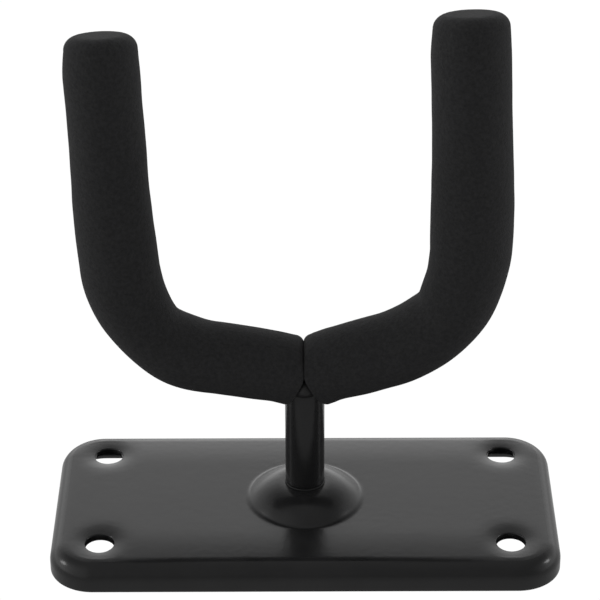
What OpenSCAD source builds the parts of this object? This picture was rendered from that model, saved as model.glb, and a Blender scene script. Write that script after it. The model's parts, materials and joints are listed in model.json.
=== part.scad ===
// Wall guitar hanger: a foam-covered yoke that swivels on a pressed steel base plate.
// Millimetres. The origin is the centre of the wall plane, +Z points out of the wall, +X runs along the plate.

/* [Base plate] */
// Length of the plate
plate_w = 105; // [100:1:130]
// Width of the plate
plate_d = 50; // [46:1:70]
// Height of the top face above the wall
plate_h = 6.4; // [6.2:0.1:9]
// Radius of the corners in plan
corner_r = 9.2; // [7:0.1:12]
// Radius of the rounding round the top edge
rim_r = 3.9; // [3:0.1:5]
// Thickness of the sheet steel
sheet = 1.5; // [1.2:0.1:1.8]

/* [Screw holes] */
// Distance between holes along the plate
hole_pitch_x = 84.5; // [80:0.5:86]
// Distance between holes across the plate
hole_pitch_y = 32; // [28:0.5:32]
// Diameter of a screw hole
hole_d = 6; // [4.5:0.1:6.2]
// Outer diameter of the pressed dimple round a hole
dimple_d = 10.8; // [9:0.1:12]
// Depth of the dimple
dimple_depth = 0.5; // [0.3:0.1:1]

/* [Boss] */
// Diameter of the boss where it leaves the plate
boss_d = 23.5; // [22:0.5:28]
// Diameter of the flat on top of the boss
boss_flat_d = 11; // [9.5:0.5:12]
// Height of the boss above the plate
boss_h = 4.1; // [4:0.1:6]

/* [Post and rod] */
// Diameter of the steel bar of the post and of the yoke
bar_d = 8; // [7:0.5:9]
// Diameter of the post's journal, which turns in the boss
journal_d = 6; // [5:0.5:6]
// Radial gap between the journal and its bore
journal_gap = 0.05; // [0.02:0.01:0.1]
// Height above the wall at which the two legs of the yoke would meet
fork_z = 37.1; // [34:0.1:60]
// Upward slope of the yoke's legs, in degrees
leg_rise = 14.3; // [8:0.1:20]
// Bend radius between leg and arm, at the middle of the rod
bend_r = 23.7; // [18:0.1:28]
// Distance from the post to the left arm
left_reach = 36.2; // [32:0.1:45]
// Distance from the post to the right arm
right_reach = 34.6; // [32:0.1:45]
// How far the weld leaves the yoke out of square to the post, in degrees
yoke_lean = 2.1; // [0:0.1:3]

/* [Foam] */
// Outer diameter of the sleeves
foam_d = 15.2; // [14:0.2:20]
// Length of the left sleeve's tip above the fork, along the arm
left_tip = 76.3; // [60:0.1:100]
// Length of the right sleeve's tip above the fork, along the arm
right_tip = 77.2; // [60:0.1:100]
// Rounding of the closed tip
tip_round = 2.6; // [1.5:0.1:4]

/* [Hidden] */
$fn = 96;

cut = 1; // how far a cutting shape runs past the face it cuts
hull_fn = 32; // sides of the rounded corners that are hulled into the pan
arc_steps = 12; // points along the boss's flank
sides = 32; // sides of the rod's and the sleeves' sections
bend_steps = 12;
fork_steps = 3;
tip_steps = 6;

steel_black = [0.10, 0.10, 0.11];
foam_black = [0.13, 0.13, 0.13];
zinc = [0.72, 0.73, 0.74];
nylon_white = [0.86, 0.86, 0.82];
plastic_black = [0.06, 0.06, 0.06];

bar_r = bar_d / 2;
journal_r = journal_d / 2;
foam_r = foam_d / 2;
hole_r = hole_d / 2;

// boss, from the outside in
boss_r = boss_d / 2;
boss_flat_r = boss_flat_d / 2;
boss_top = plate_h + boss_h;
boss_skin = 0.9; // how much narrower the boss's inside is where it leaves the plate
boss_shoulder = 0.25; // where the flank turns down, as a share of its width
boss_in_r = boss_r - boss_skin;
boss_in_flat_r = boss_flat_r + boss_skin;

// the stack on the journal, from the boss down towards the wall
thrust_t = 0.3;
thrust_r = bar_r + 0.2;
shoulder_z = boss_top + thrust_t;
washer_t = 1;
washer_r = 6;
washer_bore_r = journal_r + 0.2;
washer_top = boss_top - sheet;
spring_t = 0.5;
spring_cone = 0.3; // how much higher the inner edge of the disc spring stands
spring_r = 4.9;
spring_top = washer_top - washer_t;
nut_top = spring_top - spring_t - spring_cone;
nut_flats = 10;
nut_hex_h = 4.1;
nut_collar_h = 1.3;
nut_collar_r = 4.6;
nut_lip = 0.25; // edge rolled over the insert
insert_r = 3.9;
nut_bottom = nut_top - nut_hex_h - nut_collar_h;
stud_end = nut_bottom - 0.6;
stud_chamfer = 0.6;
foot_chamfer = 0.25;

// yoke
fork_bend_r = 8; // bend radius of the rod over the post
fork_lift = fork_bend_r * (1 / cos(leg_rise) - 1); // the bend lifts the rod above the point where the legs meet
rod_mid_z = fork_z + fork_lift;
saddle = 0.8; // depth of the saddle that the post's end is cut to
post_top = rod_mid_z - bar_r + saddle;
bead_w = 0.5;
bead_low = post_top - 1;
bead_high = post_top + 1.9;

// rod tips and their caps
foam_end_t = 3.4; // foam beyond the cap
cap_end_t = 1.2;
cap_wall = 0.8;
cap_len = 7;
foam_gap = 0.1; // half the slit between the two sleeves
foam_start = 0.5; // where a sleeve starts along its leg
post_room = 0.1; // how far the foam stays off the post and its weld

function bend_w(reach) = leg_end(reach) * sin(leg_rise) + bend_r * cos(leg_rise);
function leg_end(reach) = (reach - bend_r + bend_r * sin(leg_rise)) / cos(leg_rise);
function rod_end(tip) = tip - foam_end_t - cap_end_t;

// The flank of the boss from its foot up to its flat: nearly straight at the foot, and rounded into the flat
function flank(flat_r, base_r, low, rise) = [
    for (i = [0 : arc_steps])
        let (t = 1 - i / arc_steps)
        let (shoulder_r = flat_r + (base_r - flat_r) * boss_shoulder)
        [
            flat_r * (1 - t) * (1 - t) + shoulder_r * 2 * t * (1 - t) + base_r * t * t,
            low + rise * (1 - t * t)
        ]
];

function reversed(points) = [for (i = [len(points) - 1 : -1 : 0]) points[i]];

// The four screw positions
module at_holes() {
    for (x = [-1, 1], y = [-1, 1])
        translate([x * hole_pitch_x / 2, y * hole_pitch_y / 2, 0])
            children();
}

// The frame of the yoke, whose legs meet at its origin
module at_fork() {
    translate([0, 0, fork_z])
        rotate([0, -yoke_lean, 0])
            children();
}

// One round section of an arm, as points: centred in the arm's plane and square to a slope in degrees
function section(centre, slope, r) = [
    for (i = [0 : sides - 1])
        let (a = 360 * i / sides)
        [centre[0] - r * cos(a) * sin(slope), r * sin(a), centre[1] + r * cos(a) * cos(slope)]
];

// Sections along the leg and round the bend, from a distance along the leg to the foot of the arm
function arm_sections(reach, start, r) = concat(
    [section([start * cos(leg_rise), start * sin(leg_rise)], leg_rise, r)],
    [
        for (i = [0 : bend_steps])
            let (slope = leg_rise + (90 - leg_rise) * i / bend_steps)
            section([reach - bend_r + bend_r * sin(slope), bend_w(reach) - bend_r * cos(slope)], slope, r)
    ]
);

// A closed skin over a chain of sections, whose first and last ones are its flat ends
module skin(chain) {
    last = len(chain) - 1;
    polyhedron(
        points = [for (s = chain, p = s) p],
        faces = concat(
            [[for (i = [0 : sides - 1]) i]],
            [
                for (k = [0 : last - 1], i = [0 : sides - 1])
                    let (j = (i + 1) % sides)
                    [k * sides + i, (k + 1) * sides + i, (k + 1) * sides + j, k * sides + j]
            ],
            [[for (i = [sides - 1 : -1 : 0]) last * sides + i]]
        ),
        convexity = 6
    );
}

// The solid that the pan is drawn to: a box with round corners and a rounded top edge
module pan_form(inset, low, high, edge_r) {
    corner = corner_r - inset;
    hull()
        for (x = [-1, 1], y = [-1, 1])
            translate([x * (plate_w / 2 - corner_r), y * (plate_d / 2 - corner_r), 0])
                rotate_extrude($fn = hull_fn)
                    union() {
                        translate([0, low])
                            square([corner, high - edge_r - low]);
                        square([corner - edge_r, high]);
                        translate([corner - edge_r, high - edge_r])
                            intersection() {
                                circle(r = edge_r, $fn = hull_fn);
                                square(edge_r);
                            }
                    }
}

// One dimple: the sheet dished down to a flat round the bore
module dimple() {
    low = plate_h - dimple_depth;
    seat_r = hole_r + 0.5;
    rotate_extrude()
        polygon([
            [hole_r, low - sheet], [hole_r, low], [seat_r, low],
            [dimple_d / 2, plate_h], [dimple_d / 2, plate_h - sheet], [seat_r, low - sheet]
        ]);
}

// The boss, with the journal's bore through its flat
module boss() {
    bore_r = journal_r + journal_gap;
    rotate_extrude()
        polygon(concat(
            flank(boss_flat_r, boss_r, plate_h, boss_h),
            [[bore_r, boss_top], [bore_r, boss_top - sheet]],
            reversed(flank(boss_in_flat_r, boss_in_r, plate_h - sheet, boss_h)),
            [[boss_r, plate_h - sheet]]
        ));
}

module base_plate() color(steel_black) {
    difference() {
        pan_form(0, 0, plate_h, rim_r);
        pan_form(sheet, -cut, plate_h - sheet, rim_r - sheet);
        at_holes()
            cylinder(d = dimple_d, h = plate_h + cut);
        cylinder(r = boss_r, h = plate_h + cut);
    }
    at_holes()
        dimple();
    boss();
}

// A flat ring between two heights
module ring(inner, outer, low, high) {
    translate([0, 0, low])
        difference() {
            cylinder(r = outer, h = high - low);
            translate([0, 0, -cut])
                cylinder(r = inner, h = high - low + 2 * cut);
        }
}

module back_washer() color(zinc) ring(washer_bore_r, washer_r, washer_top - washer_t, washer_top);

module thrust_washer() color(plastic_black) ring(journal_r, thrust_r, boss_top, shoulder_z);

// A coned washer, whose inner edge bears on the back washer and whose outer edge bears on the nut
module disc_spring() color(zinc)
    rotate_extrude()
        polygon([
            [journal_r, nut_top + spring_cone], [spring_r, nut_top],
            [spring_r, nut_top + spring_t], [journal_r, spring_top]
        ]);

module lock_nut() color(zinc)
    difference() {
        union() {
            intersection() {
                translate([0, 0, nut_top - nut_hex_h])
                    cylinder(r = nut_flats / 2 / cos(30), h = nut_hex_h, $fn = 6);
                nut_chamfer();
            }
            translate([0, 0, nut_bottom])
                cylinder(r = nut_collar_r, h = nut_collar_h + cut);
        }
        translate([0, 0, nut_bottom - cut])
            cylinder(r = journal_r, h = nut_top - nut_bottom + 2 * cut);
        translate([0, 0, nut_bottom + nut_lip])
            cylinder(r = insert_r, h = nut_collar_h - nut_lip);
    }

// The turned form that bevels the corners of the hexagon
module nut_chamfer() {
    corner = nut_flats / 2 / cos(30);
    flat = nut_flats / 2 - 0.1;
    bevel = (corner - flat) * tan(30);
    low = nut_top - nut_hex_h;
    rotate_extrude()
        polygon([
            [0, low], [flat, low], [corner, low + bevel],
            [corner, nut_top - bevel], [flat, nut_top], [0, nut_top]
        ]);
}

module nut_insert() color(nylon_white)
    ring(journal_r, insert_r, nut_bottom + nut_lip, nut_bottom + nut_collar_h);

// The turned bar: chamfered stud, journal, shoulder and the shank that reaches the rod
module swivel_post() color(steel_black)
    difference() {
        rotate_extrude()
            polygon([
                [0, stud_end], [journal_r - stud_chamfer, stud_end], [journal_r, stud_end + stud_chamfer],
                [journal_r, shoulder_z], [bar_r - foot_chamfer, shoulder_z],
                [bar_r, shoulder_z + foot_chamfer], [bar_r, post_top], [0, post_top]
            ]);
        rod_over_post();
    }

// The stretch of rod that lies across the post
module rod_over_post() {
    translate([0, 0, rod_mid_z])
        rotate([0, -yoke_lean, 0])
            rotate([0, 90, 0])
                cylinder(r = bar_r, h = 4 * bar_r, center = true);
}

// The rod: a shallow bend over the post, two legs, two bends and two arms
module yoke_rod() color(steel_black)
    at_fork()
        skin(concat(
            mirrored(rod_half(left_reach, left_tip)),
            [section([0, fork_lift], 0, bar_r)],
            rod_half(right_reach, right_tip)
        ));

// One half of the rod, from the shallow bend to the sawn end
function rod_half(reach, tip) = concat(
    [
        for (i = [1 : fork_steps - 1])
            let (slope = leg_rise * i / fork_steps)
            section([fork_bend_r * sin(slope), fork_bend_r * (1 / cos(leg_rise) - cos(slope))], slope, bar_r)
    ],
    arm_sections(reach, fork_bend_r * tan(leg_rise), bar_r),
    [section([reach, rod_end(tip)], 90, bar_r)]
);

// A chain of sections turned into its mirror image, in the opposite order
function mirrored(chain) = [
    for (k = [len(chain) - 1 : -1 : 0])
        [for (p = chain[k]) [-p[0], p[1], p[2]]]
];

// The weld that closes the joint between the post's end and the rod
module weld_bead() color(steel_black)
    difference() {
        rotate_extrude()
            polygon([
                [0, post_top], [bar_r, post_top], [bar_r, bead_low], [bar_r + bead_w, bead_low + bead_w],
                [bar_r + bead_w, post_top + bead_w], [bar_r - bead_w, bead_high], [0, bead_high]
            ]);
        rod_over_post();
    }

// A cup over the sawn end of the rod
module rod_cap(reach, tip) {
    low = rod_end(tip) + cap_end_t - cap_len;
    translate([reach, 0, 0])
        difference() {
            translate([0, 0, low])
                cylinder(r = bar_r + cap_wall, h = cap_len);
            translate([0, 0, low - cut])
                cylinder(r = bar_r, h = cap_len - cap_end_t + cut);
        }
}

module rod_cap_left() color(plastic_black) at_fork() mirror([1, 0, 0]) rod_cap(left_reach, left_tip);

module rod_cap_right() color(plastic_black) at_fork() rod_cap(right_reach, right_tip);

// A sleeve as a chain of sections: up the bore from the blind end of the cap's room, then up the outside
function sleeve_chain(reach, tip) =
    let (top = rod_end(tip) + cap_end_t, low = top - cap_len, room_r = bar_r + cap_wall)
    concat(
        [section([reach, top], 90, room_r), section([reach, low], 90, room_r), section([reach, low], 90, bar_r)],
        reversed(arm_sections(reach, foam_start, bar_r)),
        arm_sections(reach, foam_start, foam_r),
        [
            for (i = [0 : tip_steps])
                let (a = 90 * i / tip_steps)
                section([reach, tip - tip_round * (1 - sin(a))], 90, foam_r - tip_round * (1 - cos(a)))
        ]
    );

// A sleeve on the right-hand side: its inner end is squeezed flat against its neighbour
module sleeve(reach, tip) {
    intersection() {
        skin(sleeve_chain(reach, tip));
        translate([foam_gap, -2 * foam_r, -2 * foam_r])
            cube([reach + 2 * foam_r, 4 * foam_r, tip + 4 * foam_r]);
    }
}

// What the foam is pushed aside by: the post and its weld
module post_clearance() {
    cylinder(r = bar_r + bead_w + post_room, h = bead_high + post_room);
}

module foam_sleeve_left() color(foam_black)
    difference() {
        at_fork()
            mirror([1, 0, 0])
                sleeve(left_reach, left_tip);
        post_clearance();
    }

module foam_sleeve_right() color(foam_black)
    difference() {
        at_fork()
            sleeve(right_reach, right_tip);
        post_clearance();
    }

base_plate();
back_washer();
thrust_washer();
swivel_post();
disc_spring();
lock_nut();
nut_insert();
yoke_rod();
weld_bead();
rod_cap_left();
rod_cap_right();
foam_sleeve_left();
foam_sleeve_right();
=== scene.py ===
import json
import math

import bmesh
import bpy
from mathutils import Matrix, Vector, noise
from mathutils.geometry import delaunay_2d_cdt


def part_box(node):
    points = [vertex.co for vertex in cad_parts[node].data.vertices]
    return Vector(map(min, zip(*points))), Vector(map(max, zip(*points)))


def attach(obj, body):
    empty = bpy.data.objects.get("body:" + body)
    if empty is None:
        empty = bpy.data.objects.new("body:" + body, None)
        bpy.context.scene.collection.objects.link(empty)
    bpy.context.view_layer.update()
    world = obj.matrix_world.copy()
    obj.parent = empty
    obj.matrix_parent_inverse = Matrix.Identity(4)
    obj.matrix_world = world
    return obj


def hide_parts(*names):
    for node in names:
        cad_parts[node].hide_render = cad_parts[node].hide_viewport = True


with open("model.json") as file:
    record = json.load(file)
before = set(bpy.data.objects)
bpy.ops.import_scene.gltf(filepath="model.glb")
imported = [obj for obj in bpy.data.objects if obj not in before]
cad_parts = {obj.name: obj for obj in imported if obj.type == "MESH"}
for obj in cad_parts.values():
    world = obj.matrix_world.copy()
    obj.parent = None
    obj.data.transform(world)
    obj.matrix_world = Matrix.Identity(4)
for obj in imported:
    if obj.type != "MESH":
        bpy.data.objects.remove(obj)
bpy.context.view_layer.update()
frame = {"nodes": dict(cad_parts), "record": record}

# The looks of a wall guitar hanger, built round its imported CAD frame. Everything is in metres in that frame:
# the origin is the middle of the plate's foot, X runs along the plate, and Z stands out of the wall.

scene = bpy.context.scene
MM = 0.001

# ---- Sizes read from the frame ----
_, plate_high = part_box("base_plate")
washer_low, washer_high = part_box("back_washer")
ring_low, ring_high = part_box("thrust_washer")
spring_low, spring_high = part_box("disc_spring")
nut_low, nut_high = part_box("lock_nut")
insert_low, insert_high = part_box("nut_insert")
post_low, post_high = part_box("swivel_post")
screws = next(m for m in frame["record"]["mounts"] if m["name"] == "wall_screws")

COAT = 0.07 * MM  # thickness of the powder coat, which the visible faces carry over the CAD's steel
HALF_W = plate_high.x + COAT
HALF_D = plate_high.y + COAT
BOSS_TOP = plate_high.z
SHEET = BOSS_TOP - washer_high.z
PITCH_X = screws["dims"]["spacing_x_mm"] * MM
PITCH_Y = screws["dims"]["spacing_y_mm"] * MM
BAR_R = post_high.x + COAT
POST_TOP = post_high.z

# ---- The pressed plate ----
PLATE_TOP = 6.5 * MM
CORNER_R = 9.2 * MM
RIM_R = 3.9 * MM
EDGE_FALL = 0.4 * MM  # how far the top has bent down where the rim's rounding starts
EDGE_BAND = 9 * MM
LOWER_EDGE_R = 0.35 * MM
PANEL_INSET = 2.6 * MM  # the flat panel is meshed in up to this distance from the outline
HOLE_R = screws["dims"]["hole_r_mm"] * MM
LIP_R = 0.3 * MM
DIMPLE_R = 7.6 * MM
DIMPLE_DEPTH = 0.5 * MM
DIMPLE_CURVE = 2.2  # power of the dimple's slope: the sheet falls ever faster towards the hole
DIMPLE_RIM = 6.0 * MM  # radius of the ringed patch round a hole
BOSS_R = 12 * MM
BOSS_FLAT_R = 4.3 * MM
BOSS_SHOULDER = 0.45  # where the flank turns down, as a share of its width
BOSS_FILLET = 1.5 * MM  # rounding between the flank and the plate
BOSS_RIM = 14 * MM  # radius of the ringed patch round the boss
BOSS_INSIDE_R = 10.85 * MM
BOSS_INSIDE_FLAT_R = 6.4 * MM
JOURNAL_R = 3 * MM
BORE_R = 3.05 * MM
WASHER_BORE_R = 3.2 * MM

# ---- The yoke ----
FORK_Z = 37.2 * MM
LEAN = math.radians(2.2)
FORK_BEND_R = 8 * MM
# An arm rises from the fork at an angle and bends upright at its reach. Its tip is a height over the fork.
# Each side of a sleeve has a radius on the leg and one on the arm, swells or hollows (how far, where along
# the rod, and how long), and a taper: how far it draws in at the tip. The crease, where the foam is nipped
# inside the bend, is given like a swell.
LEFT_ARM = {
    "side": -1, "rise": math.radians(13.3), "reach": 36.0 * MM, "bend": 22.65 * MM, "tip": 77.25 * MM,
    "inner": {
        "leg": 7.55 * MM, "arm": 7.3 * MM, "taper": 0.1 * MM,
        "swells": [(1.0 * MM, 46 * MM, 12 * MM)],
    },
    "outer": {
        "leg": 7.2 * MM, "arm": 7.65 * MM, "taper": 1.2 * MM,
        "swells": [(-0.6 * MM, 0, 7 * MM), (0.7 * MM, 26 * MM, 6 * MM), (0.55 * MM, 60 * MM, 11 * MM)],
    },
    "crease": (1.4 * MM, 31.3 * MM, 6.3 * MM), "seed": 3.0,
}
RIGHT_ARM = {
    "side": 1, "rise": math.radians(15.1), "reach": 34.8 * MM, "bend": 24.7 * MM, "tip": 78.75 * MM,
    "inner": {
        "leg": 7.6 * MM, "arm": 7.8 * MM, "taper": 0.7 * MM,
        "swells": [(0.95 * MM, 46 * MM, 18 * MM)],
    },
    "outer": {
        "leg": 7.6 * MM, "arm": 7.7 * MM, "taper": 0.4 * MM,
        "swells": [(-0.6 * MM, 0, 7 * MM), (-0.45 * MM, 44 * MM, 6 * MM), (0.45 * MM, 60 * MM, 15 * MM)],
    },
    "crease": (1.1 * MM, 31.6 * MM, 4.4 * MM), "seed": 11.0,
}

SHARP_EDGE = math.radians(40)
WELD_DISTANCE = 0.002 * MM


# ======================= mesh helpers =======================

def smoothstep(t):
    """0 below 0, 1 above 1, and a smooth step between."""
    t = min(max(t, 0.0), 1.0)
    return t * t * (3 - 2 * t)


def mix(a, b, t):
    return a + (b - a) * t


def soft_max(a, b, width):
    """The larger of two numbers, rounded off over a width where they cross."""
    if width <= 0:
        return max(a, b)
    h = max(width - abs(a - b), 0.0) / width
    return max(a, b) + h * h * width / 4


def loft(rings, close=False, pole_start=None, pole_end=None):
    """Vertices and faces of a skin over rings of equally many points, with a pole at an end if given."""
    count = len(rings[0])
    verts = [tuple(p) for ring in rings for p in ring]
    last = len(rings) - 1
    faces = []
    for k in range(len(rings) if close else last):
        low = k * count
        high = (k + 1) % len(rings) * count
        for i in range(count):
            j = (i + 1) % count
            faces.append((low + i, low + j, high + j, high + i))
    if pole_start is not None:
        verts.append(tuple(pole_start))
        tip = len(verts) - 1
        faces += [(tip, (i + 1) % count, i) for i in range(count)]
    if pole_end is not None:
        verts.append(tuple(pole_end))
        tip = len(verts) - 1
        base = last * count
        faces += [(tip, base + i, base + (i + 1) % count) for i in range(count)]
    return verts, faces


def circle(radius, z, count=96, centre=(0.0, 0.0)):
    """A ring of points round the Z axis, or round another upright axis."""
    ring = []
    for i in range(count):
        a = 2 * math.pi * i / count
        ring.append((centre[0] + radius * math.cos(a), centre[1] + radius * math.sin(a), z))
    return ring


def rounded(profile, steps=4):
    """A profile of (radius, height, rounding) corners as (radius, height) points with round corners."""
    points = []
    count = len(profile)
    for k, (r, z, size) in enumerate(profile):
        here = Vector((r, z))
        if size <= 0:
            points.append((r, z))
            continue
        before = Vector(profile[(k - 1) % count][:2]) - here
        after = Vector(profile[(k + 1) % count][:2]) - here
        start = here + before.normalized() * size
        end = here + after.normalized() * size
        for s in range(steps + 1):
            t = s / steps
            p = start * (1 - t) ** 2 + here * (2 * t * (1 - t)) + end * t ** 2
            points.append((p.x, p.y))
    return points


def make_piece(name, parts, material, body, nodes):
    """One piece from (vertices, faces) parts, riding on a body and standing for CAD nodes."""
    verts = []
    faces = []
    for part_verts, part_faces in parts:
        offset = len(verts)
        verts += part_verts
        faces += [tuple(i + offset for i in f) for f in part_faces]
    mesh = bpy.data.meshes.new(name)
    mesh.from_pydata(verts, [], faces)
    bm = bmesh.new()
    bm.from_mesh(mesh)
    bmesh.ops.remove_doubles(bm, verts=bm.verts, dist=WELD_DISTANCE)
    bmesh.ops.recalc_face_normals(bm, faces=bm.faces)
    bm.to_mesh(mesh)
    bm.free()
    mesh.shade_smooth()
    mesh.set_sharp_from_angle(angle=SHARP_EDGE)
    piece = bpy.data.objects.new(name, mesh)
    scene.collection.objects.link(piece)
    mesh.materials.append(material)
    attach(piece, body)
    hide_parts(*nodes)
    return piece


# ======================= materials =======================

def shader(name, **sockets):
    """A new Principled material with constants set on its own sockets."""
    material = bpy.data.materials.new(name)
    material.use_nodes = True
    bsdf = material.node_tree.nodes["Principled BSDF"]
    for socket, value in sockets.items():
        bsdf.inputs[socket.replace("_", " ")].default_value = value
    return material, material.node_tree, bsdf


def noise_node(tree, size, detail=3.0, roughness=0.55, stretch=(1, 1, 1)):
    """Noise whose features are about a given size in metres, fixed to the piece."""
    place = tree.nodes.new("ShaderNodeTexCoord")
    scaled = tree.nodes.new("ShaderNodeMapping")
    scaled.inputs["Scale"].default_value = stretch
    texture = tree.nodes.new("ShaderNodeTexNoise")
    texture.inputs["Scale"].default_value = 1 / size
    texture.inputs["Detail"].default_value = detail
    texture.inputs["Roughness"].default_value = roughness
    tree.links.new(place.outputs["Object"], scaled.inputs["Vector"])
    tree.links.new(scaled.outputs["Vector"], texture.inputs["Vector"])
    return texture


def vary_colour(tree, bsdf, texture, dark, light, low=0.35, high=0.65):
    """The base colour goes from dark to light with a texture's value."""
    ramp = tree.nodes.new("ShaderNodeValToRGB")
    ramp.color_ramp.elements[0].position = low
    ramp.color_ramp.elements[0].color = (*dark, 1)
    ramp.color_ramp.elements[1].position = high
    ramp.color_ramp.elements[1].color = (*light, 1)
    tree.links.new(texture.outputs[0], ramp.inputs["Fac"])
    tree.links.new(ramp.outputs["Color"], bsdf.inputs["Base Color"])


def vary_roughness(tree, bsdf, texture, low, high):
    spread = tree.nodes.new("ShaderNodeMapRange")
    spread.inputs["From Min"].default_value = 0.3
    spread.inputs["From Max"].default_value = 0.7
    spread.inputs["To Min"].default_value = low
    spread.inputs["To Max"].default_value = high
    tree.links.new(texture.outputs[0], spread.inputs["Value"])
    tree.links.new(spread.outputs["Result"], bsdf.inputs["Roughness"])


def add_bumps(tree, bsdf, *layers):
    """Bump layers of (texture output, height in metres, strength), laid on each other."""
    below = None
    for output, height, strength in layers:
        bump = tree.nodes.new("ShaderNodeBump")
        bump.inputs["Distance"].default_value = height
        bump.inputs["Strength"].default_value = strength
        tree.links.new(output, bump.inputs["Height"])
        if below is not None:
            tree.links.new(below.outputs["Normal"], bump.inputs["Normal"])
        below = bump
    tree.links.new(below.outputs["Normal"], bsdf.inputs["Normal"])


def powder_coat(name, roughness, peel):
    """Semi-gloss black powder coat with a fine orange peel."""
    material, tree, bsdf = shader(name, IOR=1.5)
    cloud = noise_node(tree, 7 * MM, detail=2)
    vary_colour(tree, bsdf, cloud, (0.016, 0.016, 0.0165), (0.019, 0.019, 0.0195))
    vary_roughness(tree, bsdf, cloud, roughness - 0.02, roughness + 0.02)
    skin = noise_node(tree, 1.5 * MM, detail=2.5, roughness=0.5)
    add_bumps(tree, bsdf, (skin.outputs[0], peel, 1.0))
    return material


def foam_rubber():
    """Closed-cell black foam: fine open pores in a dull skin."""
    material, tree, bsdf = shader("foam_rubber", IOR=1.4, Sheen_Weight=0.04, Sheen_Roughness=0.6)
    bsdf.inputs["Specular IOR Level"].default_value = 0.2
    bsdf.inputs["Sheen Tint"].default_value = (0.5, 0.5, 0.5, 1)
    pores = tree.nodes.new("ShaderNodeTexVoronoi")
    pores.inputs["Scale"].default_value = 1 / (0.42 * MM)
    place = tree.nodes.new("ShaderNodeTexCoord")
    tree.links.new(place.outputs["Object"], pores.inputs["Vector"])
    mottle = noise_node(tree, 0.8 * MM, detail=5, roughness=0.7)
    vary_colour(tree, bsdf, mottle, (0.030, 0.030, 0.031), (0.047, 0.047, 0.048))
    vary_roughness(tree, bsdf, mottle, 0.8, 0.95)
    grain = noise_node(tree, 0.5 * MM, detail=4, roughness=0.7)
    add_bumps(
        tree, bsdf,
        (grain.outputs[0], 0.14 * MM, 1.0),
        (pores.outputs["Distance"], 0.06 * MM, 0.8),
    )
    return material


def zinc():
    """Bright zinc plate, faintly brushed."""
    material, tree, bsdf = shader("zinc_plate", Metallic=1.0)
    brushed = noise_node(tree, 0.6 * MM, detail=3, stretch=(1, 1, 8))
    vary_colour(tree, bsdf, brushed, (0.55, 0.56, 0.57), (0.68, 0.69, 0.70))
    vary_roughness(tree, bsdf, brushed, 0.22, 0.36)
    add_bumps(tree, bsdf, (brushed.outputs[0], 0.01 * MM, 0.5))
    return material


def moulded(name, dark, light, roughness):
    """A moulded plastic with a faint grain."""
    material, tree, bsdf = shader(name, IOR=1.5)
    grain = noise_node(tree, 0.3 * MM)
    vary_colour(tree, bsdf, grain, dark, light)
    vary_roughness(tree, bsdf, grain, roughness - 0.05, roughness + 0.05)
    add_bumps(tree, bsdf, (grain.outputs[0], 0.01 * MM, 0.6))
    return material


PAINT = powder_coat("black_powder_coat", 0.22, 0.024 * MM)
WELD_PAINT = powder_coat("black_powder_coat_on_weld", 0.5, 0.03 * MM)
FOAM = foam_rubber()
ZINC = zinc()
BLACK_PLASTIC = moulded("black_plastic", (0.02, 0.02, 0.02), (0.028, 0.028, 0.028), 0.45)
NYLON = moulded("nylon", (0.78, 0.78, 0.74), (0.85, 0.85, 0.81), 0.4)


# ======================= the base plate =======================

CORNER_STEPS = 24
LONG_STEPS = 58
SHORT_STEPS = 22
PANEL_STEP = 1.5 * MM
PANEL_BORDERS = (3.3 * MM, 4.1 * MM, 5.1 * MM)  # insets of the rows of points that follow the outline
PANEL_GRID_FROM = 5.9 * MM  # the even grid of points starts at this inset


def outline(inset):
    """The plate's outline drawn in by an inset, anticlockwise: each corner's arc, then its straight."""
    radius = CORNER_R - inset
    x = HALF_W - CORNER_R
    y = HALF_D - CORNER_R
    centres = [(x, y), (-x, y), (-x, -y), (x, -y)]
    arcs = []
    for k, (cx, cy) in enumerate(centres):
        turns = [math.pi / 2 * (k + i / CORNER_STEPS) for i in range(CORNER_STEPS + 1)]
        arcs.append([(cx + radius * math.cos(a), cy + radius * math.sin(a)) for a in turns])
    points = []
    for k, arc in enumerate(arcs):
        points += arc
        end = arc[-1]
        start = arcs[(k + 1) % 4][0]
        steps = LONG_STEPS if k % 2 == 0 else SHORT_STEPS
        for i in range(1, steps):
            points.append((mix(end[0], start[0], i / steps), mix(end[1], start[1], i / steps)))
    return points


def inset_at(x, y):
    """How far a point of the plate lies inside its outline."""
    qx = abs(x) - (HALF_W - CORNER_R)
    qy = abs(y) - (HALF_D - CORNER_R)
    outside = math.hypot(max(qx, 0), max(qy, 0))
    return CORNER_R - outside - min(max(qx, qy), 0)


def edge_drop(x, y):
    """How far the top has bent down near the rim."""
    t = (EDGE_BAND + RIM_R - inset_at(x, y)) / EDGE_BAND
    t = min(max(t, 0.0), 1.0)
    return EDGE_FALL * t * t


HOLES = [(sx * PITCH_X / 2, sy * PITCH_Y / 2) for sx in (-1, 1) for sy in (-1, 1)]


def dimple_drop(x, y):
    """How far the sheet is pressed down near a screw hole."""
    drop = 0.0
    for hx, hy in HOLES:
        t = (DIMPLE_R - math.hypot(x - hx, y - hy)) / (DIMPLE_R - HOLE_R)
        if t > 0:
            drop += DIMPLE_DEPTH * min(t, 1.0) ** DIMPLE_CURVE
    return drop


def panel_height(x, y, rounding, thickness):
    """Height of the outer skin over a point of the panel, or of the inner one if there is a thickness."""
    depth = RIM_R - inset_at(x, y)
    fall = rounding - math.sqrt(rounding ** 2 - depth ** 2) if depth > 0 else 0.0
    return PLATE_TOP - thickness - fall - dimple_drop(x, y) - edge_drop(x, y)


def outer_height(x, y):
    return panel_height(x, y, RIM_R, 0.0)


def inner_height(x, y):
    return panel_height(x, y, RIM_R - SHEET, SHEET)


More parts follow.
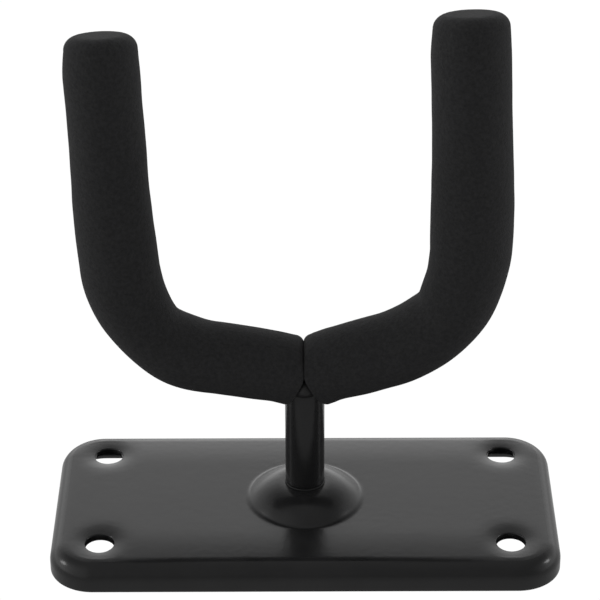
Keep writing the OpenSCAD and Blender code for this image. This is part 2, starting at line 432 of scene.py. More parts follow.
def rim_rings():
    """Rings from the panel's edge out over the rim, down the wall, under it and up the inside."""
    outer_start = math.asin(1 - PANEL_INSET / RIM_R)
    inner_r = RIM_R - SHEET
    inner_start = math.asin((RIM_R - PANEL_INSET) / inner_r)
    profile = []
    for i in range(17):
        t = mix(outer_start, math.pi / 2, i / 16)
        profile.append((RIM_R * (1 - math.sin(t)), RIM_R * (1 - math.cos(t))))
    wall_top = RIM_R
    wall_low = PLATE_TOP - LOWER_EDGE_R
    profile += [(0, mix(wall_top, wall_low, i / 3)) for i in range(1, 3)]
    for i in range(6):
        a = math.pi / 2 * i / 5
        profile.append((LOWER_EDGE_R * (1 - math.cos(a)), wall_low + LOWER_EDGE_R * math.sin(a)))
    for i in range(6):
        a = math.pi / 2 * i / 5
        profile.append((SHEET - LOWER_EDGE_R * (1 - math.sin(a)), wall_low + LOWER_EDGE_R * math.cos(a)))
    profile += [(SHEET, mix(wall_low, wall_top, i / 3)) for i in range(1, 3)]
    for i in range(13):
        t = mix(math.pi / 2, inner_start, i / 12)
        profile.append((RIM_R - inner_r * math.sin(t), SHEET + inner_r * (1 - math.cos(t))))
    rings = []
    for inset, depth in profile:
        ring = []
        for x, y in outline(inset):
            sink = edge_drop(x, y) + dimple_drop(x, y)
            ring.append((x, y, (PLATE_TOP - sink) * (1 - depth / PLATE_TOP)))
        rings.append(ring)
    return rings


HOLE_SIDES = 72


def hole_rings(hx, hy):
    """Rings from the panel in over the dimple, round the lip, down the hole and out under the sheet."""
    lip = HOLE_R + LIP_R
    edge = 0.15 * MM
    rings = []
    for i in range(15):
        r = mix(DIMPLE_RIM, lip, i / 14)
        rings.append([(x, y, outer_height(x, y)) for x, y, _ in circle(r, 0, HOLE_SIDES, (hx, hy))])
    seat = DIMPLE_DEPTH + edge_drop(hx, hy)
    top = PLATE_TOP - seat
    for i in range(1, 9):
        a = math.pi / 2 * i / 8
        r = lip - LIP_R * math.sin(a)
        ring = []
        for x, y, _ in circle(r, 0, HOLE_SIDES, (hx, hy)):
            lean_x = hx + (x - hx) * lip / r
            lean_y = hy + (y - hy) * lip / r
            ring.append((x, y, outer_height(lean_x, lean_y) - LIP_R * (1 - math.cos(a))))
        rings.append(ring)
    bottom = top - SHEET
    rings.append(circle(HOLE_R, mix(top - LIP_R, bottom, 0.5), HOLE_SIDES, (hx, hy)))
    for i in range(5):
        a = math.pi / 2 * i / 4
        r = HOLE_R + edge * (1 - math.cos(a))
        rings.append(circle(r, bottom + edge * (1 - math.sin(a)), HOLE_SIDES, (hx, hy)))
    for i in range(1, 9):
        r = mix(HOLE_R + edge, DIMPLE_RIM, i / 8)
        rings.append([(x, y, inner_height(x, y)) for x, y, _ in circle(r, 0, HOLE_SIDES, (hx, hy))])
    return rings


BOSS_SIDES = 128
FLANK_END = 0.96  # share of the flank after which the fillet takes over


def flank(flat_r, base_r, low, rise, t):
    """A point of the boss's flank, from its flat at 0 to its foot at 1, curving down all the way."""
    shoulder_r = mix(flat_r, base_r, BOSS_SHOULDER)
    r = flat_r * (1 - t) ** 2 + shoulder_r * 2 * t * (1 - t) + base_r * t ** 2
    return r, low + rise * (1 - t * t)


def boss_rings():
    """Rings from the panel in over the boss to its bore and out again underneath."""
    height = BOSS_TOP - PLATE_TOP
    edge = 0.2 * MM
    foot_slope = math.atan(height / ((BOSS_R - BOSS_FLAT_R) * (1 - BOSS_SHOULDER)))
    foot = BOSS_FILLET * math.tan(foot_slope / 2)
    profile = [(mix(BOSS_RIM, BOSS_R + foot, i / 4), PLATE_TOP) for i in range(5)]
    for i in range(1, 5):
        a = foot_slope * i / 5
        r = BOSS_R + foot - BOSS_FILLET * math.sin(a)
        profile.append((r, PLATE_TOP + BOSS_FILLET * (1 - math.cos(a))))
    for i in range(28):
        t = mix(FLANK_END, 0.0, i / 27)
        profile.append(flank(BOSS_FLAT_R, BOSS_R, PLATE_TOP, height, t))
    profile += [(mix(BOSS_FLAT_R, BORE_R + edge, i / 4), BOSS_TOP) for i in range(1, 5)]
    for i in range(1, 5):
        a = math.pi / 2 * i / 4
        profile.append((BORE_R + edge * (1 - math.sin(a)), BOSS_TOP - edge * (1 - math.cos(a))))
    profile.append((BORE_R, BOSS_TOP - SHEET + edge))
    profile.append((BORE_R + edge, BOSS_TOP - SHEET))
    for i in range(17):
        profile.append(flank(BOSS_INSIDE_FLAT_R, BOSS_INSIDE_R, PLATE_TOP - SHEET, height, i / 16))
    profile.append((BOSS_RIM, PLATE_TOP - SHEET))
    rings = []
    for r, z in profile:
        ring = []
        for x, y, _ in circle(r, 0, BOSS_SIDES):
            ring.append((x, y, z - edge_drop(x, y)))
        rings.append(ring)
    return rings


def panel(height, hole_loop, boss_loop, edge_loop):
    """The open sheet between the rim, the dimples and the boss, triangulated and lifted to its height."""
    loops = [edge_loop, boss_loop] + [hole_loop(hx, hy) for hx, hy in HOLES]
    points = []
    edges = []
    for loop in loops:
        start = len(points)
        points += [Vector(p[:2]) for p in loop]
        edges += [(start + i, start + (i + 1) % len(loop)) for i in range(len(loop))]

    def is_open(x, y, margin):
        if inset_at(x, y) < PANEL_INSET + margin:
            return False
        if math.hypot(x, y) < BOSS_RIM + margin:
            return False
        return all(math.hypot(x - hx, y - hy) > DIMPLE_RIM + margin for hx, hy in HOLES)

    for inset in PANEL_BORDERS:
        points += [Vector(p) for p in outline(inset) if is_open(*p, 0.35 * MM)]
    row_step = PANEL_STEP * math.sqrt(3) / 2
    rows = int(HALF_D / row_step)
    columns = int(HALF_W / PANEL_STEP)
    for row in range(-rows, rows + 1):
        for column in range(-columns, columns + 1):
            x = (column + 0.5 * (row % 2)) * PANEL_STEP
            y = row * row_step
            if inset_at(x, y) > PANEL_GRID_FROM and is_open(x, y, 0.7 * MM):
                points.append(Vector((x, y)))
    flat, _, faces, *_ = delaunay_2d_cdt(points, edges, [], 0, 1e-9)
    kept = []
    for face in faces:
        x = sum(flat[i].x for i in face) / len(face)
        y = sum(flat[i].y for i in face) / len(face)
        if is_open(x, y, 0.0):
            kept.append(tuple(face))
    return [(p.x, p.y, height(p.x, p.y)) for p in flat], kept


def base_plate():
    """The pressed pan as one closed shell."""
    rim = rim_rings()
    boss = boss_rings()
    holes = [hole_rings(hx, hy) for hx, hy in HOLES]
    parts = [loft(rim), loft(boss)] + [loft(rings) for rings in holes]

    def hole_loop(hx, hy):
        return circle(DIMPLE_RIM, 0, HOLE_SIDES, (hx, hy))

    edge = outline(PANEL_INSET)
    boss_loop = circle(BOSS_RIM, 0, BOSS_SIDES)
    parts.append(panel(outer_height, hole_loop, boss_loop, edge))
    parts.append(panel(inner_height, hole_loop, boss_loop, edge))
    return make_piece("plate_shell", parts, PAINT, "base", ["base_plate"])


# ======================= the swivel stack =======================

def lathe(profile, count=96):
    """A closed ring-shaped solid turned from a closed profile of (radius, height) points."""
    return loft([circle(r, z, count) for r, z in profile], close=True)


def flat_ring(name, inner, outer, low, high, edge, material, body, node):
    profile = rounded([(inner, low, edge), (outer, low, edge), (outer, high, edge), (inner, high, edge)])
    return make_piece(name, [lathe(profile)], material, body, [node])


def disc_spring():
    """A coned washer with eased edges."""
    ease = 0.08 * MM
    thickness = 0.5 * MM
    profile = rounded([
        (JOURNAL_R, spring_high.z - thickness, ease), (spring_high.x, spring_low.z, ease),
        (spring_high.x, spring_low.z + thickness, ease), (JOURNAL_R, spring_high.z, ease),
    ])
    return make_piece("coned_spring", [lathe(profile)], ZINC, "yoke", ["disc_spring"])


NUT_FLATS = 10 * MM
NUT_HEX_HEIGHT = 4.1 * MM
NUT_COLLAR_R = 4.6 * MM
INSERT_R = 3.9 * MM


def hex_radius(angle):
    """Distance from the nut's axis to its side, at an angle."""
    return NUT_FLATS / 2 / math.cos(angle % (math.pi / 3) - math.pi / 6)


def lock_nut():
    """A hexagon nut with bevelled corners and a collar rolled over its insert."""
    count = 144
    hex_low = nut_high.z - NUT_HEX_HEIGHT
    bevel_slope = math.tan(math.radians(30))
    flat_r = NUT_FLATS / 2 - 0.1 * MM

    def bevelled(z):
        room = min(z - hex_low, nut_high.z - z)
        ring = []
        for i in range(count):
            a = 2 * math.pi * i / count
            r = min(hex_radius(a), flat_r + room / bevel_slope)
            ring.append((r * math.cos(a), r * math.sin(a), z))
        return ring

    heights = [0, 0.1, 0.2, 0.3, 0.4, 0.55, 0.75]
    levels = [hex_low + h * MM for h in heights] + [nut_high.z - h * MM for h in reversed(heights)]
    collar = rounded([
        (JOURNAL_R, nut_low.z, 0), (INSERT_R, nut_low.z, 0.1 * MM),
        (NUT_COLLAR_R, nut_low.z, 0.45 * MM), (NUT_COLLAR_R, hex_low, 0.1 * MM),
    ])
    rings = [circle(JOURNAL_R, z, count) for z in (nut_high.z, insert_high.z)]
    rings += [circle(INSERT_R, z, count) for z in (insert_high.z, insert_low.z)]
    rings += [circle(r, z, count) for r, z in collar]
    rings += [bevelled(z) for z in levels]
    return make_piece("hex_lock_nut", [loft(rings, close=True)], ZINC, "yoke", ["lock_nut"])


THREAD_PITCH = 1 * MM
THREAD_DEPTH = 0.55 * MM
THREAD_TOP = 7.6 * MM
THREAD_STEP = 0.07 * MM  # height between the rings that make the thread
POST_FOOT_R = 0.3 * MM  # rounding of the post's foot
POST_BEVEL = 0.12 * MM  # the eased edge where the post meets the rod


def thread_radius(angle, z):
    """Radius of the stud's thread, which runs out at its top and is bevelled at its end."""
    phase = (z / THREAD_PITCH - angle / (2 * math.pi)) % 1.0
    depth = THREAD_DEPTH * (1 - abs(2 * phase - 1)) ** 0.8
    depth *= 1 - smoothstep((z - THREAD_TOP + THREAD_PITCH) / THREAD_PITCH)
    bevel = max(0.6 * MM - (z - post_low.z), 0)
    return min(JOURNAL_R - depth, JOURNAL_R - bevel)


def rod_height(x, y):
    """Height of the rod's underside over a point, where the post's end is cut to fit it."""
    middle = FORK_Z + FORK_BEND_R * (1 / math.cos(LEFT_ARM["rise"]) - 1)
    return middle - math.sqrt(max(BAR_R ** 2 - y ** 2, 0)) - 0.02 * MM + x * math.sin(LEAN)


def swivel_post():
    """The turned bar: threaded stud, journal, shoulder with an eased edge, and the shank up to the rod."""
    count = 96
    shoulder = ring_high.z
    rings = []
    level = post_low.z
    while level < THREAD_TOP:  # the stud's thread
        ring = []
        for i in range(count):
            a = 2 * math.pi * i / count
            r = thread_radius(a, level)
            ring.append((r * math.cos(a), r * math.sin(a), level))
        rings.append(ring)
        level += THREAD_STEP
    foot = POST_FOOT_R
    rings += [circle(JOURNAL_R, z, count) for z in (THREAD_TOP, shoulder)]
    for i in range(6):
        a = math.pi / 2 * i / 5
        rings.append(circle(BAR_R - foot * (1 - math.sin(a)), shoulder + foot * (1 - math.cos(a)), count))
    shank = [mix(shoulder + foot, POST_TOP - 1.2 * MM, i / 12) for i in range(1, 13)]
    rings += [circle(BAR_R, z, count) for z in shank]
    for r in (BAR_R, BAR_R - POST_BEVEL, BAR_R * 0.75, BAR_R * 0.5, BAR_R * 0.25):
        ring = []
        for x, y, _ in circle(r, 0, count):
            top = min(POST_TOP, rod_height(x, y)) - (POST_BEVEL if r == BAR_R else 0)
            ring.append((x, y, top))
        rings.append(ring)
    end = (0, 0, min(POST_TOP, rod_height(0, 0)))
    parts = [loft(rings, pole_start=(0, 0, post_low.z), pole_end=end)]
    return make_piece("post_bar", parts, PAINT, "yoke", ["swivel_post"])


# ======================= the yoke =======================

def in_frame(u, y, w):
    """A point of the yoke's own plane, along, out of and up from the fork, in the frame."""
    x = u * math.cos(LEAN) - w * math.sin(LEAN)
    z = FORK_Z + u * math.sin(LEAN) + w * math.cos(LEAN)
    return x, y, z


def arm_lengths(arm):
    """Lengths of an arm's leg, bend and upright, along the middle of the rod."""
    rise = arm["rise"]
    leg = (arm["reach"] - arm["bend"] * (1 - math.sin(rise))) / math.cos(rise)
    bend = arm["bend"] * (math.pi / 2 - rise)
    foot = leg * math.sin(rise) + arm["bend"] * math.cos(rise)
    return leg, bend, arm["tip"] - foot


def arm_point(arm, distance):
    """Where the rod's middle is at a distance along an arm, and how steep it is there, before mirroring."""
    rise = arm["rise"]
    radius = arm["bend"]
    leg, bend, _ = arm_lengths(arm)
    if distance <= leg:
        return distance * math.cos(rise), distance * math.sin(rise), rise
    if distance <= leg + bend:
        slope = rise + (distance - leg) / radius
    else:
        slope = math.pi / 2
    u = arm["reach"] - radius * (1 - math.sin(slope))
    foot = leg * math.sin(rise) + radius * math.cos(rise)
    w = foot - radius * math.cos(slope) + max(distance - leg - bend, 0)
    return u, w, slope


def section(arm, distance, radius, count):
    """A ring round the rod's middle. Both sizes may be functions of the angle, which is 0 inside the bend."""
    ring = []
    for i in range(count):
        a = 2 * math.pi * i / count
        along = distance(a) if callable(distance) else distance
        u, w, slope = arm_point(arm, along)
        r = radius(a) if callable(radius) else radius
        across = r * math.cos(a)
        ring.append((u - across * math.sin(slope), r * math.sin(a), w + across * math.cos(slope)))
    return ring


def placed(arm, ring):
    """A ring of an arm's own plane, mirrored to its side and put in the frame."""
    return [in_frame(arm["side"] * u, y, w) for u, y, w in ring]


ROD_SIDES = 48
CAP_ROOM = 6.0 * MM  # from the foam's tip down to the rod's end
ROD_EASE = 0.4 * MM


def bent_rod():
    """The rod: a shallow bend over the post, two legs, two bends and two arms with eased ends."""
    halves = []
    for arm in (LEFT_ARM, RIGHT_ARM):
        leg, bend, upright = arm_lengths(arm)
        rise = arm["rise"]
        start = FORK_BEND_R * math.tan(rise / 2) * 2
        total = leg + bend + upright - CAP_ROOM
        stops = [start, mix(start, leg, 0.5)] + [leg + bend * i / 24 for i in range(25)]
        stops += [mix(leg + bend, total - ROD_EASE, i / 6) for i in range(1, 7)]
        rings = []
        for i in range(1, 4):
            slope = rise * i / 4
            u = FORK_BEND_R * math.sin(slope)
            w = FORK_BEND_R * (1 / math.cos(rise) - math.cos(slope))
            ring = []
            for k in range(ROD_SIDES):
                a = 2 * math.pi * k / ROD_SIDES
                across = BAR_R * math.cos(a)
                side = BAR_R * math.sin(a)
                ring.append((u - across * math.sin(slope), side, w + across * math.cos(slope)))
            rings.append(placed(arm, ring))
        rings += [placed(arm, section(arm, s, BAR_R, ROD_SIDES)) for s in stops]
        for i in range(1, 4):
            a = math.pi / 2 * i / 3
            place = total - ROD_EASE * (1 - math.sin(a))
            radius = BAR_R - ROD_EASE * (1 - math.cos(a))
            rings.append(placed(arm, section(arm, place, radius, ROD_SIDES)))
        tip_u, tip_w, _ = arm_point(arm, total)
        halves.append((rings, in_frame(arm["side"] * tip_u, 0, tip_w)))
    middle_w = FORK_BEND_R * (1 / math.cos(LEFT_ARM["rise"]) - 1)
    middle = []
    for k in range(ROD_SIDES):
        a = 2 * math.pi * k / ROD_SIDES
        middle.append(in_frame(0, BAR_R * math.sin(a), middle_w + BAR_R * math.cos(a)))
    rings = halves[0][0][::-1] + [middle] + halves[1][0]
    parts = [loft(rings, pole_start=halves[0][1], pole_end=halves[1][1])]
    return make_piece("bent_rod", parts, PAINT, "yoke", ["yoke_rod"])


WELD_SIDE = 0.5 * MM  # how far the weld stands out of the bar at its sides
WELD_LUMP = 2.95 * MM  # the same in the notches between the sleeves, in front and behind
WELD_LUMP_POWER = 7  # the higher, the narrower the lumps
WELD_HEIGHT = 4.6 * MM
WELD_SAG = 0.9 * MM  # how much lower the weld sits at its sides
WELD_WAVE = 0.2 * MM  # its unevenness


def weld_seam():
    """The lumpy fillet between the post's end and the rod."""
    count = 144
    steps = 20
    low = POST_TOP - 0.15 * MM
    high = low + WELD_HEIGHT
    rings = []
    for k in range(steps + 1):
        t = k / steps
        swell = math.sin(math.pi * t) ** 0.5
        ring = []
        for i in range(count):
            a = 2 * math.pi * i / count
            spot = Vector((2.4 * math.cos(a), 2.4 * math.sin(a), 3 * t))
            lump = WELD_SIDE + (WELD_LUMP - WELD_SIDE) * abs(math.sin(a)) ** WELD_LUMP_POWER
            r = BAR_R + swell * (lump + WELD_WAVE * noise.noise(spot))
            side = math.cos(a) ** 2
            ring.append((r * math.cos(a), r * math.sin(a), mix(low, high, t) - WELD_SAG * side))
        rings.append(ring)
    parts = [loft(rings, pole_start=(0, 0, low), pole_end=(0, 0, high))]
    return make_piece("weld_seam", parts, WELD_PAINT, "yoke", ["weld_bead"])


FOAM_SIDES = 128
FOAM_STEP = 0.45 * MM
FOAM_START = 0.3 * MM
END_ROUND_ALONG = 2.0 * MM  # rounding of a sleeve's inner end along the rod, at its top, and below
END_ROUND_BELOW = 0.03 * MM
END_ROUND_ACROSS = 2.0 * MM  # the same rounding, measured towards the rod
END_ROUND_ACROSS_BELOW = 0.1 * MM
TIP_ROUND = 3.0 * MM
TIP_SLANT = 0.28  # the tips are cut out of square by this, their backs lower
TIP_CROWN = 0.05 * MM
TIP_TAPER = 9 * MM
TOUCH_HEIGHT = 2.3 * MM  # height over the fork above which the two sleeves touch
FACE_SLOPE = 0.5  # how fast the sleeves' end faces part below that
FACE_GAP = 0.005 * MM
HEEL_HEIGHT = -4 * MM  # below this the end faces part further
HEEL_SLOPE = 0.35
POST_ROOM_R = 4.9 * MM
POST_ROOM_HEIGHT = -0.9 * MM
PUSH_REACH = 7 * MM  # how far from its end a sleeve is pushed out of shape
CREASE_TIP = 0.8 * MM
FOAM_LUMPS = 0.09 * MM
LUMP_LENGTH = 1 / 180


def bell(distance, place, width):
    """A smooth bump of height 1."""
    return math.exp(-((distance - place) / width) ** 2)


def side_radius(arm, side, distance):
    """The radius of a sleeve on one side of the bend."""
    leg, bend, upright = arm_lengths(arm)
    values = arm[side]
    radius = mix(values["leg"], values["arm"], smoothstep((distance - 30 * MM) / (20 * MM)))
    radius += sum(height * bell(distance, place, width) for height, place, width in values["swells"])
    near_tip = max((distance - (leg + bend + upright - TIP_TAPER)) / TIP_TAPER, 0.0)
    return radius - values["taper"] * near_tip ** 1.5


def sleeve_radius(arm, distance):
    """The radius of a sleeve at a distance, as a function of the angle round it."""
    inner = side_radius(arm, "inner", distance)
    outer = side_radius(arm, "outer", distance)
    depth, place, width = arm["crease"]
    off = math.hypot(distance - place, CREASE_TIP) - CREASE_TIP
    nip = depth * math.exp(-off / width)
    u, w, _ = arm_point(arm, distance)

    def radius(angle):
        facing = math.cos(angle)
        spot = Vector((u / LUMP_LENGTH, w / LUMP_LENGTH + arm["seed"], 0.9 * math.sin(angle)))
        lumps = FOAM_LUMPS * noise.noise(spot + Vector((0, 0, 2 * facing)))
        return mix(outer, inner, (1 + facing) / 2) - nip * max(facing, 0.0) ** 1.5 + lumps

    return radius


def end_face(y, w):
    """Where a sleeve's inner end lies along the fork: on its neighbour above, clear of the post below."""
    touching = soft_max(FACE_GAP, FACE_SLOPE * (TOUCH_HEIGHT - w), 0.5 * MM)
    round_post = math.sqrt(max(POST_ROOM_R ** 2 - y ** 2, 0))
    below = smoothstep((POST_ROOM_HEIGHT - w) / (1.0 * MM) + 0.5)
    return max(touching, round_post * below) + HEEL_SLOPE * max(HEEL_HEIGHT - w, 0)


def squeezed(arm, ring, distance):
    """A ring near the inner end, pushed along so that the end face fits its neighbour and the post."""
    room = 1 - smoothstep((distance - FOAM_START) / PUSH_REACH)
    if room <= 0:
        return ring
    rise = arm["rise"]
    moved = []
    for u, y, w in ring:
        square_end = FOAM_START / math.cos(rise) - (w - FOAM_START * math.sin(rise)) * math.tan(rise)
        moved.append((u + (end_face(y, w) - square_end) * room, y, w))
    return moved


def slanted(ring, share):
    """The ring with its back lowered, as far as the share says."""
    slope = TIP_SLANT * smoothstep(share)
    return [(u, y, w - slope * y) for u, y, w in ring]


def end_rings(arm, bore_r):
    """The inner end of a sleeve, from its bore out over its face and its rounded edge."""
    def across(angle):
        top = max(math.cos(angle), 0.0) ** 2
        return mix(END_ROUND_ACROSS_BELOW, END_ROUND_ACROSS, top)

    def face_r(angle):
        return sleeve_radius(arm, FOAM_START)(angle) - across(angle)

    rings = []
    for i in range(1, 6):
        ring = section(arm, FOAM_START, lambda a: mix(bore_r, face_r(a), i / 5), FOAM_SIDES)
        rings.append(squeezed(arm, ring, FOAM_START))
    for i in range(1, 9):
        turn = math.pi / 2 * i / 8

        def place(angle):
            top = max(math.cos(angle), 0.0) ** 2
            return FOAM_START + mix(END_ROUND_BELOW, END_ROUND_ALONG, top) * (1 - math.cos(turn))

        def radius(angle):
            return face_r(angle) + across(angle) * math.sin(turn)

        ring = section(arm, place, radius, FOAM_SIDES)
        rings.append(squeezed(arm, ring, FOAM_START + END_ROUND_BELOW * (1 - math.cos(turn))))
    return rings


def foam_sleeve(arm, name, node):
    """A sleeve of foam as a closed skin: up its bore to the blind end, back down outside."""
    leg, bend, upright = arm_lengths(arm)
    total = leg + bend + upright
    bore_r = BAR_R + 0.02 * MM
    bore_end = total - CAP_ROOM + 0.05 * MM
    rings = []
    bore_steps = 48
    for i in range(bore_steps + 1):
        distance = mix(bore_end, FOAM_START, i / bore_steps)
        rings.append(squeezed(arm, section(arm, distance, bore_r, FOAM_SIDES), distance))
    rings += end_rings(arm, bore_r)
    body_start = FOAM_START + END_ROUND_ALONG
    body_end = total - TIP_ROUND
    steps = int((body_end - body_start) / FOAM_STEP)
    for i in range(1, steps + 1):
        distance = mix(body_start, body_end, i / steps)
        ring = squeezed(arm, section(arm, distance, sleeve_radius(arm, distance), FOAM_SIDES), distance)
        rings.append(slanted(ring, (distance - total) / TIP_TAPER + 1))
    edge_radius = sleeve_radius(arm, body_end)
    for i in range(1, 11):
        turn = math.pi / 2 * i / 10
        drawn_in = TIP_ROUND * (1 - math.cos(turn))
        place = body_end + TIP_ROUND * math.sin(turn)
        ring = section(arm, place, lambda a: edge_radius(a) - drawn_in, FOAM_SIDES)
        rings.append(slanted(ring, 1.0))
    for i in range(1, 6):
        t = i / 6
        place = total + TIP_CROWN * (1 - (1 - t) ** 2)
        ring = section(arm, place, lambda a: (edge_radius(a) - TIP_ROUND) * (1 - t), FOAM_SIDES)
        rings.append(slanted(ring, 1.0))
    bore_u, bore_w, _ = arm_point(arm, bore_end)
    tip_u, tip_w, _ = arm_point(arm, total + TIP_CROWN)
    parts = [loft(
        [placed(arm, ring) for ring in rings],
        pole_start=in_frame(arm["side"] * bore_u, 0, bore_w),
        pole_end=in_frame(arm["side"] * tip_u, 0, tip_w),
    )]
    piece = make_piece(name, parts, FOAM, "yoke", [node])
    return piece


# ======================= light, floor and camera =======================

BACKDROP = 1.02
# How bright the studio is, by the sine of the height over the horizon: level at 0, overhead at 1.
SKY = [
    (0.0, 1.6), (0.15, 2.3), (0.3, 1.85), (0.42, 1.55), (0.5, 1.38), (0.55, 1.26), (0.575, 1.08),
    (0.61, 1.0), (0.66, 0.78), (0.72, 0.56), (0.8, 0.42), (1.0, 0.3),
]
SIDE_SHARE = 0.46  # how bright the studio is to the sides, against straight behind
FRONT_LEVEL = 0.2  # how bright it is behind the camera
GLOW_FROM = (-0.8, -0.5, 0.35)  # a broad soft glow in front to the left
GLOW_LEVEL = 0.32
FLOOR_DIM = 0.3  # what the floor throws at the object in front of it, and behind it
FLOOR_BRIGHT = 0.62
FLOOR_DIM_TO = -0.045
FLOOR_BRIGHT_FROM = 0.02
FLOOR_HALF = 2.0
FLOOR_COVER_INSET = 0.3 * CORNER_R  # keeps the square unlit patch under the plate inside its round corners
SOFTBOX_SIZE = 0.16
SOFTBOX_DISTANCE = 0.9
SOFTBOX_WATTS = 0.5


def map_range(tree, value, start, end, low, high, smooth=False):
    """The value's way from start to end as a way from low to high."""
    node = tree.nodes.new("ShaderNodeMapRange")
    if smooth:
        node.interpolation_type = "SMOOTHSTEP"
    for socket, number in (("From Min", start), ("From Max", end), ("To Min", low), ("To Max", high)):
        node.inputs[socket].default_value = number
    tree.links.new(value, node.inputs["Value"])
    return node.outputs["Result"]


def calculate(tree, operation, first, second=None):
    """A sum on sockets or plain numbers."""
    node = tree.nodes.new("ShaderNodeMath")
    node.operation = operation
    for socket, value in zip(node.inputs, (first, second)):
        if isinstance(value, (int, float)):
            socket.default_value = value
        elif value is not None:
            tree.links.new(value, socket)
    return node.outputs["Value"]


def mix_colours(tree, factor, first, second, blend="MIX"):
    """Two colours mixed, or the second added, by a factor. Either is a socket or a constant."""
    node = tree.nodes.new("ShaderNodeMix")
    node.data_type = "RGBA"
    node.blend_type = blend
    tree.links.new(factor, node.inputs["Factor"])
    for socket, colour in (("A", first), ("B", second)):
        if isinstance(colour, tuple):
            node.inputs[socket].default_value = colour
        else:
            tree.links.new(colour, node.inputs[socket])
    return node.outputs["Result"]


def grey(level):
    return level, level, level, 1


def camera_sees(tree, seen, otherwise, output):
    """One shader for what the camera sees and another for all other rays."""
    path = tree.nodes.new("ShaderNodeLightPath")
    choose = tree.nodes.new("ShaderNodeMixShader")
    tree.links.new(path.outputs["Is Camera Ray"], choose.inputs["Fac"])
    tree.links.new(otherwise, choose.inputs[1])
    tree.links.new(seen, choose.inputs[2])
    tree.links.new(choose.outputs["Shader"], output.inputs["Surface"])


def sky_levels(tree, height):
    """The studio's brightness by height."""
    node = tree.nodes.new("ShaderNodeValToRGB")
    elements = node.color_ramp.elements
    for k, (position, level) in enumerate(SKY):
        element = elements[k] if k < 2 else elements.new(position)
        element.position = position
        element.color = grey(level)
    tree.links.new(height, node.inputs["Fac"])
    return node.outputs["Color"]


def soft_glow(tree, direction):
    """A broad glow round one direction."""
    facing = tree.nodes.new("ShaderNodeVectorMath")
    facing.operation = "DOT_PRODUCT"
    facing.inputs[1].default_value = Vector(GLOW_FROM).normalized()
    tree.links.new(direction, facing.inputs[0])
    return map_range(tree, facing.outputs["Value"], 0.5, 1.0, 0.0, GLOW_LEVEL, smooth=True)


def studio_world():
    """A soft studio: bright behind the object near the horizon, dimmer to the sides and overhead."""
    world = bpy.data.worlds.new("studio")
    scene.world = world
    world.use_nodes = True
    tree = world.node_tree
    tree.nodes.clear()
    place = tree.nodes.new("ShaderNodeTexCoord")
    direction = place.outputs["Generated"]
    split = tree.nodes.new("ShaderNodeSeparateXYZ")
    tree.links.new(direction, split.inputs["Vector"])
    sideways = calculate(tree, "ABSOLUTE", split.outputs["X"])
    middle = map_range(tree, sideways, 0.05, 0.6, 1.0, SIDE_SHARE)
    sky = mix_colours(tree, middle, grey(0), sky_levels(tree, split.outputs["Z"]))
    behind = map_range(tree, split.outputs["Y"], -0.75, 0.1, 0.0, 1.0, smooth=True)
    room = mix_colours(tree, behind, grey(FRONT_LEVEL), sky)
    room = mix_colours(tree, soft_glow(tree, direction), room, grey(1), blend="ADD")
    lit = tree.nodes.new("ShaderNodeBackground")
    tree.links.new(room, lit.inputs["Color"])
    seen = tree.nodes.new("ShaderNodeBackground")
    seen.inputs["Color"].default_value = grey(BACKDROP)
    output = tree.nodes.new("ShaderNodeOutputWorld")
    camera_sees(tree, seen.outputs["Background"], lit.outputs["Background"], output)


def floor_bounce(tree):
    """What the floor throws at the object: little in front, more behind, nothing from under the plate."""
    place = tree.nodes.new("ShaderNodeTexCoord")
    split = tree.nodes.new("ShaderNodeSeparateXYZ")
    tree.links.new(place.outputs["Object"], split.inputs["Vector"])
    spread = map_range(
        tree, split.outputs["Y"], FLOOR_DIM_TO, FLOOR_BRIGHT_FROM, FLOOR_DIM, FLOOR_BRIGHT, smooth=True,
    )
    within = []
    for axis, half in (("X", HALF_W), ("Y", HALF_D)):
        size = calculate(tree, "ABSOLUTE", split.outputs[axis])
        within.append(calculate(tree, "LESS_THAN", size, half - FLOOR_COVER_INSET))
    covered = calculate(tree, "MULTIPLY", *within)
    return calculate(tree, "MULTIPLY", spread, calculate(tree, "SUBTRACT", 1, covered))


def studio_floor():
    """A plain pale floor. It glows evenly to the eye, and gives only dim light to reflections."""
    mesh = bpy.data.meshes.new("floor")
    bm = bmesh.new()
    bmesh.ops.create_grid(bm, x_segments=8, y_segments=8, size=FLOOR_HALF)
    bmesh.ops.translate(bm, verts=bm.verts, vec=(0, 0, -0.02 * MM))
    bm.to_mesh(mesh)
    bm.free()
    floor = bpy.data.objects.new("floor", mesh)
    scene.collection.objects.link(floor)
    material = bpy.data.materials.new("pale_floor")
    material.use_nodes = True
    tree = material.node_tree
    tree.nodes.clear()
    bounce = tree.nodes.new("ShaderNodeEmission")
    tree.links.new(floor_bounce(tree), bounce.inputs["Strength"])
    glow = tree.nodes.new("ShaderNodeEmission")
    glow.inputs["Color"].default_value = grey(BACKDROP)
    output = tree.nodes.new("ShaderNodeOutputMaterial")
    camera_sees(tree, glow.outputs["Emission"], bounce.outputs["Emission"], output)
    mesh.materials.append(material)


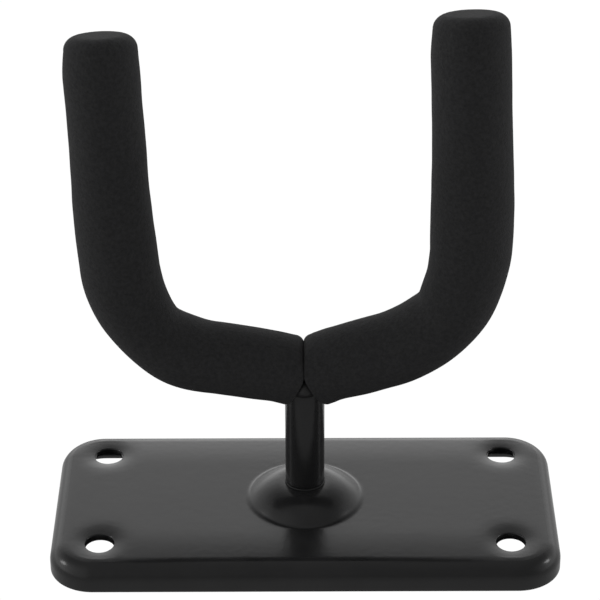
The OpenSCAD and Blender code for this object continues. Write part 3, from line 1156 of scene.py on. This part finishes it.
def softbox(name, direction):
    """A square light that faces the object from a direction."""
    light = bpy.data.lights.new(name, "AREA")
    light.size = SOFTBOX_SIZE
    light.energy = SOFTBOX_WATTS
    lamp = bpy.data.objects.new(name, light)
    scene.collection.objects.link(lamp)
    away = Vector(direction).normalized()
    lamp.location = away * SOFTBOX_DISTANCE
    lamp.rotation_euler = away.to_track_quat("Z", "Y").to_euler()


CAMERA_PLACE = (0.00008, -0.4595, 0.3265)
CAMERA_LENS = 159.2  # millimetres, on a sensor 36 mm wide


def studio_camera():
    """A long lens in front of the hanger and above it."""
    elevation = math.radians(30.64)
    yaw = math.radians(-0.12)
    roll = math.radians(-0.26)
    forward = Vector((
        math.sin(yaw) * math.cos(elevation), math.cos(yaw) * math.cos(elevation), -math.sin(elevation),
    ))
    right = Vector((math.cos(yaw), -math.sin(yaw), 0))
    up = right.cross(forward)
    turned_right = right * math.cos(roll) + up * math.sin(roll)
    turned_up = up * math.cos(roll) - right * math.sin(roll)
    axes = Matrix((turned_right, turned_up, -forward)).transposed()
    data = bpy.data.cameras.new("camera")
    data.lens = CAMERA_LENS
    data.sensor_width = 36
    data.clip_start = 0.01
    camera = bpy.data.objects.new("camera", data)
    scene.collection.objects.link(camera)
    camera.matrix_world = Matrix.Translation(CAMERA_PLACE) @ axes.to_4x4()
    scene.camera = camera


# ======================= the whole =======================

base_plate()
flat_ring("wall_washer", WASHER_BORE_R, washer_high.x, washer_low.z, washer_high.z, 0.12 * MM,
          ZINC, "base", "back_washer")
flat_ring("thrust_ring", JOURNAL_R, ring_high.x, ring_low.z, ring_high.z, 0.08 * MM,
          BLACK_PLASTIC, "yoke", "thrust_washer")
flat_ring("insert_ring", JOURNAL_R, insert_high.x, insert_low.z, insert_high.z, 0.06 * MM,
          NYLON, "yoke", "nut_insert")
disc_spring()
lock_nut()
swivel_post()
bent_rod()
weld_seam()
foam_sleeve(LEFT_ARM, "foam_left", "foam_sleeve_left")
foam_sleeve(RIGHT_ARM, "foam_right", "foam_sleeve_right")
for cap in ("rod_cap_left", "rod_cap_right"):
    frame["nodes"][cap].data.materials.clear()
    frame["nodes"][cap].data.materials.append(BLACK_PLASTIC)

studio_world()
studio_floor()
softbox("left_softbox", (-0.88, 0.05, 0.47))
softbox("right_softbox", (0.88, 0.05, 0.47))
studio_camera()
scene.view_settings.view_transform = "Standard"
